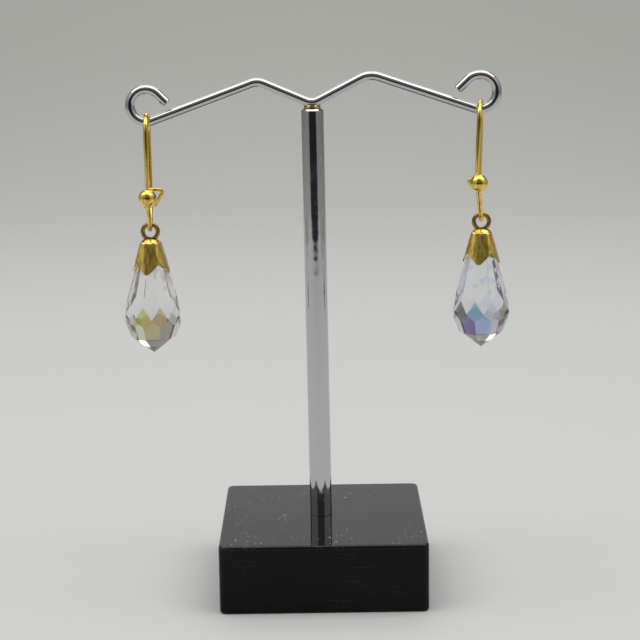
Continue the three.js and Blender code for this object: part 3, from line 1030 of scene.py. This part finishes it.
def gold_material(earring, wear):
    """Polished gold plate with soft drawn streaks, coloured darker on the rings."""
    tree, shader = new_material(GOLD, {"Metallic": 1, "Coat Weight": 0.5, "Coat Roughness": 0.1})
    streaks = noise(tree, STREAK_CELLS, 2.0)
    worn(tree, shader, wear, FINISHES[GOLD], streaks)
    tone = mixed(tree, ramped(tree, streaks, *STREAK_EDGE), earring.gold_colour, earring.streak_colour)
    # The rings are coloured darker
    ring_darkening = put(tree, "ShaderNodeAttribute", attribute_name="ring_darkening")
    share = maths(tree, "MULTIPLY", ring_darkening.outputs["Fac"], RING_DARKENING_SHARE)
    tree.links.new(mixed(tree, share, tone, earring.ring_dark_colour), shader.inputs["Base Color"])


def block_material(stand, wear):
    """Polished black acrylic with hairline scratches and dust specks, most of them on its top."""
    tree, shader = new_material(ACRYLIC, {"IOR": 1.26})
    marks = worn(tree, shader, wear, FINISHES[ACRYLIC])
    height = axes_of(tree, object_place(tree))["Z"]
    top = ramped(tree, height, stand.dust_height, stand.dust_height + stand.block_bevel)
    dust = maths(tree, "ADD", maths(tree, "MULTIPLY", top, 1 - SIDE_DUST), SIDE_DUST)
    tree.links.new(dust, marks.inputs["Dust"])
    tree.links.new(maths(tree, "MULTIPLY", top, TOP_COAT), shader.inputs["Coat Weight"])
    scuffed = mixed(tree, marks.outputs["Scratch Mask"], stand.block_colour, stand.scuff_colour)
    dusty = mixed(tree, marks.outputs["Dust Mask"], scuffed, stand.dust_colour)
    tree.links.new(dusty, shader.inputs["Base Color"])


def crystal_material(stone):
    """Cut glass with a colour on each facet that is partly the coating's tint and partly painted reflection
    and shade, with small painted flashes of colour under the caps.
    """
    tree, shader = new_material(GLASS, {"Transmission Weight": 0.85, "IOR": 1.45, "Roughness": 0.0})
    # Each facet's colour: the coating's tint with painted reflection and shade
    tint = put(tree, "ShaderNodeAttribute", attribute_name="facet_tint_and_light")
    clouds = ramped(tree, noise(tree, CLOUD_CELLS, 1.0), *CLOUD_EDGE)
    tinted_and_lit = mixed(tree, maths(tree, "MULTIPLY", clouds, stone.cloudiness), tint.outputs["Color"], (1, 1, 1))

    # Painted flashes: small glints of colour painted into the base colour under the caps
    place = object_place(tree)
    axes = axes_of(tree, place)
    cells = put(tree, "ShaderNodeTexVoronoi", {"Scale": 1 / stone.flash_size})
    tree.links.new(place, cells.inputs["Vector"])
    picks = put(tree, "ShaderNodeSeparateColor")
    tree.links.new(cells.outputs["Color"], picks.inputs[0])
    hue = mixed(tree, ramped(tree, axes["X"], -MM, MM), stone.warm_flash, stone.cool_flash)
    near_cap = ramped(tree, axes["Z"], stone.flash_low, stone.flash_low + FLASH_FADE)
    flash = maths(tree, "MULTIPLY", ramped(tree, picks.outputs[0], *FLASH_PICK), near_cap)
    share = maths(tree, "MULTIPLY", flash, FLASH_SHARE)
    tree.links.new(mixed(tree, share, tinted_and_lit, hue), shader.inputs["Base Color"])


def front_share(tree, place):
    """One at the room's front, within about 37 degrees of -Y as seen from the stand, and zero elsewhere."""
    level = put(tree, "ShaderNodeVectorMath", {1: (1, 1, 0)}, operation="MULTIPLY")
    tree.links.new(place, level.inputs[0])
    bearing = put(tree, "ShaderNodeVectorMath", operation="NORMALIZE")
    tree.links.new(level.outputs[0], bearing.inputs[0])
    nearer = maths(tree, "MULTIPLY", axes_of(tree, bearing.outputs[0])["Y"], -1)
    return ramped(tree, nearer, *FRONT_EDGE)


def backdrop_material(stage):
    """The sweep's matt paint, with painted light and shade: a painted pool of light round the stand, painted
    shade towards the wall, the sides and the front, and painted light on the wall higher up.
    """
    tree, shader = new_material("backdrop", {"Roughness": 0.8, "Specular IOR Level": 0.1})
    place = object_place(tree)
    axes = axes_of(tree, place)
    # Painted shade: darker towards the wall
    wall_shade = ramped(tree, maths(tree, "ADD", axes["Y"], axes["Z"]), stage.wall_shade_start, stage.wall_shade_end)
    pale = mixed(tree, wall_shade, stage.floor_colour, stage.wall_shade_colour)
    # Painted light: the wall brighter higher up
    pale = mixed(tree, ramped(tree, axes["Z"], stage.lit_start, stage.lit_end), pale, stage.lit_wall_colour)
    # Painted pool of light round the stand, with painted shade on the floor beyond it at the sides and the
    # front
    nearer = maths(tree, "MULTIPLY", axes["Y"], -1)
    reach = maths(tree, "MAXIMUM", maths(tree, "ABSOLUTE", axes["X"]), nearer)
    shaded_aside = mixed(tree, front_share(tree, place), stage.floor_side_shade_colour, stage.front_colour)
    past = ramped(tree, reach, stage.light_pool_reach - stage.light_pool_blur, stage.light_pool_reach + stage.light_pool_blur)
    tree.links.new(mixed(tree, past, pale, shaded_aside), shader.inputs["Base Color"])
    return bpy.data.materials["backdrop"]


def room_light(stage):
    """The room's own light, which is dark at the front."""
    world = bpy.data.worlds.new("room")
    world.use_nodes = True
    tree = world.node_tree
    direction = put(tree, "ShaderNodeTexCoord").outputs["Generated"]
    rise = ramped(tree, axes_of(tree, direction)["Z"], 0.0, ROOM_RISE)
    room = mixed(tree, rise, stage.side_colour, stage.ceiling_colour)
    front = mixed(tree, rise, stage.front_colour, stage.front_high_colour)
    tone = mixed(tree, front_share(tree, direction), room, front)
    tree.links.new(tone, tree.nodes["Background"].inputs["Color"])
    return world


# Operators


class EARRING_OT_stage(bpy.types.Operator):
    """Adds the pale sweep, the studio light and the camera"""

    bl_idname = "earring.stage"
    bl_label = "Stage"

    def execute(self, context):
        stage = context.scene.earring_stage
        context.scene.view_settings.view_transform = "Standard"

        def build(work):
            profile = [(-stage.depth, 0), (stage.depth - stage.curve, 0)]
            for i in range(1, SWEEP_STEPS + 1):
                a = math.pi / 2 * i / SWEEP_STEPS
                forward = stage.curve * math.sin(a)
                profile.append((stage.depth - stage.curve + forward, stage.curve * (1 - math.cos(a))))
            profile.append((stage.depth, stage.tall))
            edges = [[work.verts.new((x, y, z)) for y, z in profile] for x in (-stage.wide, stage.wide)]
            for i in range(len(profile) - 1):
                work.faces.new((edges[0][i], edges[1][i], edges[1][i + 1], edges[0][i + 1]))

        sweep = new_piece("sweep", mesh_from("sweep", build))
        sweep.data.materials.append(backdrop_material(stage))
        sweep.data.shade_smooth()
        self.lamp(context, "overhead", stage.lamp_power)
        self.lamp(context, "back", stage.back_power)
        context.scene.world = room_light(stage)
        self.camera(context)
        return {"FINISHED"}

    def lamp(self, context, name, power):
        """One of the soft lamps, shining from its place towards its aim."""
        size, place, aim = LAMPS[name]
        lamp = bpy.data.lights.new(name, "AREA")
        lamp.shape = "RECTANGLE"
        lamp.size, lamp.size_y = size
        lamp.energy = power
        lamp.color = LAMP_COLOUR
        holder = bpy.data.objects.new(name, lamp)
        holder.location = place
        holder.rotation_euler = (Vector(aim) - holder.location).to_track_quat("-Z", "Y").to_euler()
        context.scene.collection.objects.link(holder)

    def camera(self, context):
        """The photo's viewpoint: a little above the arm wire, looking down at the stand."""
        view = bpy.data.cameras.new("view")
        view.lens = LENS
        view.sensor_width = SENSOR
        view.clip_start = NEAREST
        pitch, yaw, roll = (math.radians(angle) for angle in (PITCH, YAW, ROLL))
        ahead = Vector((math.sin(yaw) * math.cos(pitch), math.cos(yaw) * math.cos(pitch), -math.sin(pitch)))
        level = Vector((math.cos(yaw), -math.sin(yaw), 0))
        upright = level.cross(ahead)
        right = level * math.cos(roll) + upright * math.sin(roll)
        up = upright * math.cos(roll) - level * math.sin(roll)
        camera = bpy.data.objects.new("view", view)
        turn = Matrix((right, up, -ahead)).transposed().to_4x4()
        camera.matrix_world = Matrix.Translation(CAMERA_PLACE) @ turn
        context.scene.collection.objects.link(camera)
        context.scene.camera = camera


class EARRING_OT_block(bpy.types.Operator):
    """Builds the polished black block"""

    bl_idname = "earring.block"
    bl_label = "Block"

    def execute(self, context):
        stand = context.scene.earring_stand
        low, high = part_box("stand_base")

        def climb(edge):
            return abs(edge.verts[0].co.z - edge.verts[1].co.z)

        def round_off(work, edges, width, steps):
            bmesh.ops.bevel(work, geom=edges, offset=width, segments=steps, profile=0.5, affect="EDGES",
                            clamp_overlap=True)

        def build(work):
            bmesh.ops.create_cube(work, size=1, matrix=Matrix.LocRotScale((low + high) / 2, None, high - low))
            upright = [edge for edge in work.edges if climb(edge) > MM]
            round_off(work, upright, stand.block_corner + stand.block_bevel, CORNER_STEPS)
            rims = [edge for edge in work.edges if climb(edge) < LEVEL]
            round_off(work, rims, stand.block_bevel, BEVEL_STEPS)

        block = new_piece("block", mesh_from("block", build))
        radius = stand.stud_width / 2 + stand.socket_clearance
        floor = high.z - stand.stud_length - stand.socket_clearance
        above = high.z + MM
        drill = turned("drill", [(0, floor), (radius, floor), (radius, above), (0, above)], sides=48)
        drill.data.transform(Matrix.Translation((stand.post_offset, 0, 0)))
        combine(block, drill, "DIFFERENCE")
        settle(block)
        bpy.data.objects.remove(drill)
        smooth(block, crease=40)
        weighted = block.modifiers.new("even_shading", "WEIGHTED_NORMAL")
        weighted.keep_sharp = True
        settle(block)
        dress(block, bpy.data.materials[ACRYLIC], "stand", "stand_base")
        return {"FINISHED"}


class EARRING_OT_post_and_arms(bpy.types.Operator):
    """Builds the chrome post, its stud, the braze and the bent arm wire as one piece"""

    bl_idname = "earring.post_and_arms"
    bl_label = "Post and Arms"

    def execute(self, context):
        stand = context.scene.earring_stand
        foot, up = post_frame(stand)
        radius = stand.post_width / 2
        stud = stand.stud_width / 2
        chamfer = stand.rim_chamfer
        post = turned("post", [
            (0, -stand.stud_length - stand.seat_gap),
            (stud, -stand.stud_length - stand.seat_gap),
            (stud, 0),
            (radius, 0),
            (radius, stand.post_length - chamfer),
            (radius - chamfer, stand.post_length),
            (0, stand.post_length),
        ], sides=96)
        bead = [(0, stand.post_length - chamfer / 2)]
        for i in range(BRAZE_STEPS + 1):
            share = i / BRAZE_STEPS
            width = stand.braze_width / 2 - (stand.braze_width - stand.braze_top) / 2 * share ** 2
            bead.append((width, stand.post_length + stand.braze_height * share))
        bead.append((0, stand.post_length + stand.braze_height))
        braze = turned("braze", bead, sides=64)
        lean = up.to_track_quat("Z", "Y").to_matrix().to_4x4()
        for piece in (post, braze):
            piece.data.transform(Matrix.Translation(foot) @ lean)
        chrome = bpy.data.materials[CHROME]
        wire = bent_wire("arm_wire", arm_wire_corners(stand), chrome, sides=32, bend_steps=12)
        for part, value in ((post, 0), (braze, 1), (wire, 0)):
            mark_faces(part, "braze", value)
        whole = fuse("post_and_arms", [post, braze, wire])
        smooth(whole, crease=35)
        dress(whole, chrome, "stand", "stand_frame")
        return {"FINISHED"}


class EARRING_OT_ear_hooks(bpy.types.Operator):
    """Builds the two ear hooks, each an arched wire with its catch and soldered ball"""

    bl_idname = "earring.ear_hooks"
    bl_label = "Ear Hooks"

    def execute(self, context):
        earring = context.scene.earring_parts
        gold = bpy.data.materials[GOLD]
        radius = earring.ball_width / 2
        arc = circle_profile(radius, 32, -math.pi / 2, math.pi)
        arc = [(0, arc[0][1]), *arc[1:-1], (0, arc[-1][1])]
        for name in EARS:
            corners = hook_corners(earring, name)
            wire = bent_wire("ear_wire", corners, gold)
            ball = turned("ball", arc, sides=48)
            ball.data.transform(Matrix.Translation(corners[0][0]))
            hook = fuse(f"{name}_hook", [wire, ball])
            smooth(hook, crease=40)
            dress(hook, gold, "stand", f"{name}_ear_hook")
        return {"FINISHED"}


class EARRING_OT_caps(bpy.types.Operator):
    """Builds the two caps, each a four-petalled bell with its dome and ring"""

    bl_idname = "earring.caps"
    bl_label = "Caps"

    def execute(self, context):
        earring = context.scene.earring_parts
        gold = bpy.data.materials[GOLD]
        ring_radius = (earring.ring_width - earring.ring_wire) / 2
        section = circle_profile(earring.ring_wire / 2, 20, out=ring_radius)[:-1]
        for name, ear in EARS.items():
            shell = cap_shell(earring, "shell")
            dome = turned("dome", dome_profile(earring), sides=64)
            ring = turned("ring", section, sides=64, closed=True)
            square_on = Matrix.Rotation(math.radians(-ear.petal_turn), 4, "Z")
            upright = Matrix.Rotation(math.pi / 2, 4, "X")
            ring.data.transform(square_on @ Matrix.Translation((0, 0, ring_rise(earring))) @ upright)
            # The ring's faces are marked to be coloured darker
            for part, value in ((shell, 0), (dome, 0), (ring, 1)):
                mark_faces(part, "ring_darkening", value)
            cap = fuse(f"{name}_cap", [shell, dome, ring])
            petal_turn = Matrix.Rotation(math.radians(ear.petal_turn), 4, "Z")
            cap.data.transform(drop_place(earring, name) @ petal_turn)
            smooth(cap, crease=38)
            dress(cap, gold, f"{name}_drop", f"{name}_drop_cap")
        return {"FINISHED"}


class EARRING_OT_crystals(bpy.types.Operator):
    """Cuts the two teardrop crystals, row by row of facets"""

    bl_idname = "earring.crystals"
    bl_label = "Crystals"

    def execute(self, context):
        stone = context.scene.earring_stone
        earring = context.scene.earring_parts
        for name, ear in EARS.items():
            crystal = cut_stone(stone, earring, name)
            crystal.name = f"{name}_stone"
            hang = Matrix.Translation((0, 0, -(ear.stone_seat + stone.height)))
            turn = Matrix.Rotation(math.radians(ear.stone_turn), 4, "Z")
            crystal.data.transform(drop_place(earring, name) @ hang @ turn)
            dress(crystal, bpy.data.materials[GLASS], f"{name}_drop", f"{name}_crystal")
        return {"FINISHED"}


class EARRING_OT_materials(bpy.types.Operator):
    """Makes the chrome, gold, black block and crystal materials"""

    bl_idname = "earring.materials"
    bl_label = "Materials"

    def execute(self, context):
        scene = context.scene
        wear = surface_wear_group()
        chrome_material(scene.earring_stand, wear)
        block_material(scene.earring_stand, wear)
        gold_material(scene.earring_parts, wear)
        crystal_material(scene.earring_stone)
        return {"FINISHED"}


class EARRING_PT_panel(bpy.types.Panel):
    """Lists the pieces in the sidebar"""

    bl_label = "Crystal Earrings"
    bl_idname = "EARRING_PT_panel"
    bl_space_type = "VIEW_3D"
    bl_region_type = "UI"
    bl_category = "Earrings"

    def draw(self, context):
        for operator in OPERATORS:
            self.layout.operator(operator.bl_idname)


OPERATORS = (
    EARRING_OT_materials,
    EARRING_OT_stage,
    EARRING_OT_block,
    EARRING_OT_post_and_arms,
    EARRING_OT_ear_hooks,
    EARRING_OT_caps,
    EARRING_OT_crystals,
)
SETTINGS = {
    "earring_stand": StandSettings,
    "earring_parts": EarringSettings,
    "earring_stone": StoneSettings,
    "earring_stage": StageSettings,
}


def register():
    for kind in (*SETTINGS.values(), *OPERATORS, EARRING_PT_panel):
        bpy.utils.register_class(kind)
    for name, kind in SETTINGS.items():
        setattr(bpy.types.Scene, name, bpy.props.PointerProperty(type=kind))


def unregister():
    for name in SETTINGS:
        delattr(bpy.types.Scene, name)
    for kind in (EARRING_PT_panel, *reversed(OPERATORS), *SETTINGS.values()):
        bpy.utils.unregister_class(kind)


def main():
    """Builds everything in order."""
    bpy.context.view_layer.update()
    register()
    bpy.ops.earring.materials()
    bpy.ops.earring.stage()
    bpy.ops.earring.block()
    bpy.ops.earring.post_and_arms()
    bpy.ops.earring.ear_hooks()
    bpy.ops.earring.caps()
    bpy.ops.earring.crystals()


if __name__ == "__main__":
    main()
